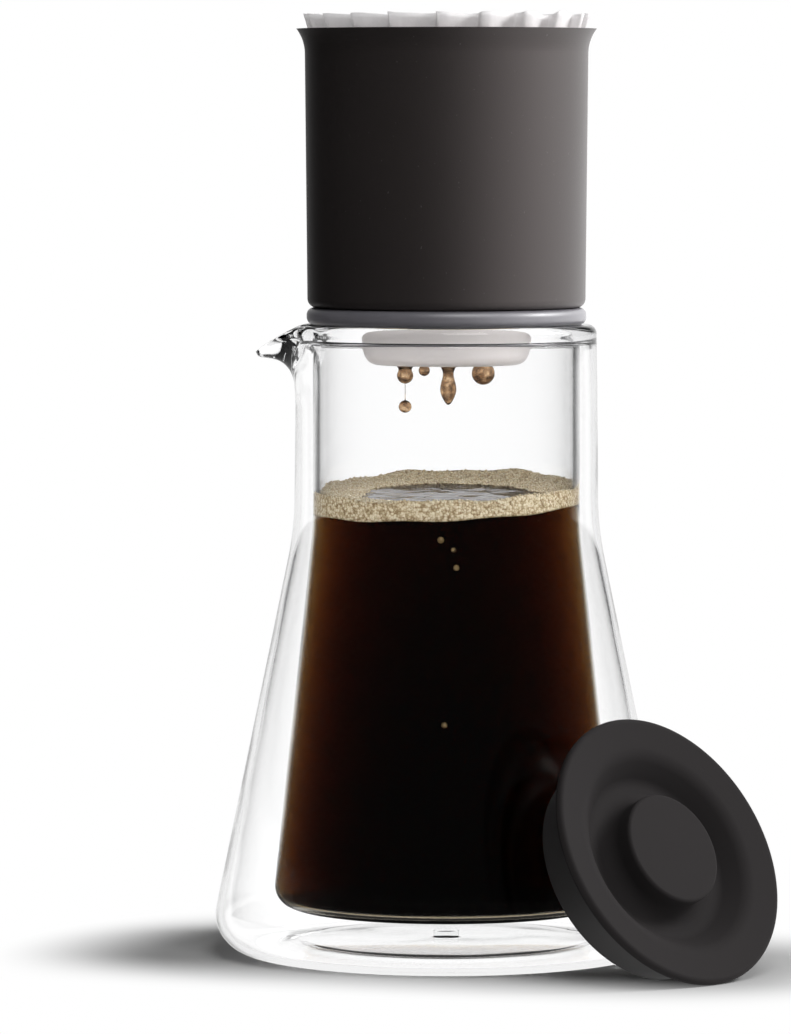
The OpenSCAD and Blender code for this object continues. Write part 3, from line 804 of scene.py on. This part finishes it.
bpy.ops.mesh.primitive_plane_add(size=30)
floor = bpy.context.object
floor.name = "floor"
sweep = bpy.data.materials.new("white_sweep")
sweep.use_nodes = True
tree = sweep.node_tree
tree.nodes.clear()
spot = Wire.node(tree, "ShaderNodeTexCoord", out="Object")
away = Wire.node(tree, "ShaderNodeVectorMath", {"operation": "LENGTH"}, {0: spot}, "Value")
way = Wire.node(tree, "ShaderNodeVectorMath", {"operation": "NORMALIZE"}, {0: spot}, "Vector")

# The shadow shows on the floor near the object, along a band that runs from the left to the lid. In
# that band the floor is also painted darker for rays straight from the camera, a painted shade that
# deepens it.
FLOOR_WHITE = 0.9
SHADE_SPOT = (0.006, -0.012, 0)
SHADE_REACH = (0.081, 0.131)
SHADE_BAND = (0.025, 0.095)
SHADE_SLANT = 0.35
SHADE_FRONT = 0.010
PAINTED_SHADE_DEPTH = 0.48
SATIN_SHADE = 0.75
MIRROR_REACH = (0.5, 0.9)
offset = Wire.node(tree, "ShaderNodeVectorMath", {"operation": "SUBTRACT"}, {
    0: spot, 1: SHADE_SPOT}, "Vector")
beside = Wire.node(tree, "ShaderNodeVectorMath", {"operation": "LENGTH"}, {0: offset}, "Value")
rightward = Wire.node(tree, "ShaderNodeSeparateXYZ", None, {0: spot}, "X")
across = Wire(rightward.socket.node.outputs["Y"]) + rightward * SHADE_SLANT + SHADE_FRONT
across = across.math("ABSOLUTE", across)
near = (1 - ramp(tree, beside, *SHADE_REACH)) * (1 - ramp(tree, across, *SHADE_BAND))
under = 1 - ramp(tree, away, *MIRROR_REACH)
straight, through, smooth, satin, glow = surroundings(tree, way, under)
# Painted shade: for rays straight from the camera the floor's white is lowered inside the band
matte = Wire.node(tree, "ShaderNodeBsdfDiffuse", None, {
    "Color": FLOOR_WHITE - straight * PAINTED_SHADE_DEPTH})
white = Wire.node(tree, "ShaderNodeEmission", None, {"Color": (1, 1, 1, 1), "Strength": glow})
share = through + smooth + straight * (1 - near) + satin * (1 - near * SATIN_SHADE)
blended = Wire.node(tree, "ShaderNodeMixShader", None, {0: share, 1: matte, 2: white})
tree.links.new(blended.socket, tree.nodes.new("ShaderNodeOutputMaterial").inputs["Surface"])
floor.data.materials.append(sweep)

world = bpy.data.worlds.new("studio")
bpy.context.scene.world = world
world.use_nodes = True
tree = world.node_tree
tree.nodes.clear()
straight, through, smooth, satin, glow = surroundings(
    tree, Wire.node(tree, "ShaderNodeTexCoord", out="Generated"))
glow = glow + (1 - straight - through - smooth - satin) * ROOM_LIGHT
sky = Wire.node(tree, "ShaderNodeBackground", None, {"Color": (1, 1, 1, 1), "Strength": glow})
tree.links.new(sky.socket, tree.nodes.new("ShaderNodeOutputWorld").inputs["Surface"])


def soft_box(name, spot, aim, size, watts):
    """A square soft box at a spot, turned towards a point."""
    data = bpy.data.lights.new(name, "AREA")
    data.energy = watts
    data.size = size
    lamp = bpy.data.objects.new(name, data)
    lamp.location = spot
    lamp.rotation_euler = (Vector(aim) - Vector(spot)).to_track_quat("-Z", "Y").to_euler()
    bpy.context.scene.collection.objects.link(lamp)


soft_box("key", (1.40, 0.10, 1.00), (0, 0, 0.12), size=0.55, watts=25.0)
soft_box("top", (0.30, -0.95, 1.40), (0, 0, 0.05), size=0.8, watts=11.5)

# Camera
# It stands level with the dripper and looks a little down, as far away as the photograph shows.
CAMERA_BACK = 1.8
CAMERA_Z = 0.228
CAMERA_X = -0.01374
PITCH = math.radians(3.5)
LENS_PIXELS = 6675
PHOTO_H = 1034
camera_data = bpy.data.cameras.new("camera")
camera_data.sensor_fit = "VERTICAL"
camera_data.sensor_height = 36
camera_data.lens = LENS_PIXELS / PHOTO_H * camera_data.sensor_height
camera = bpy.data.objects.new("camera", camera_data)
camera.location = (CAMERA_X, -CAMERA_BACK, CAMERA_Z)
camera.rotation_euler = (math.pi / 2 - PITCH, 0, 0)
bpy.context.scene.collection.objects.link(camera)
bpy.context.scene.camera = camera
bpy.context.scene.view_settings.view_transform = "Standard"
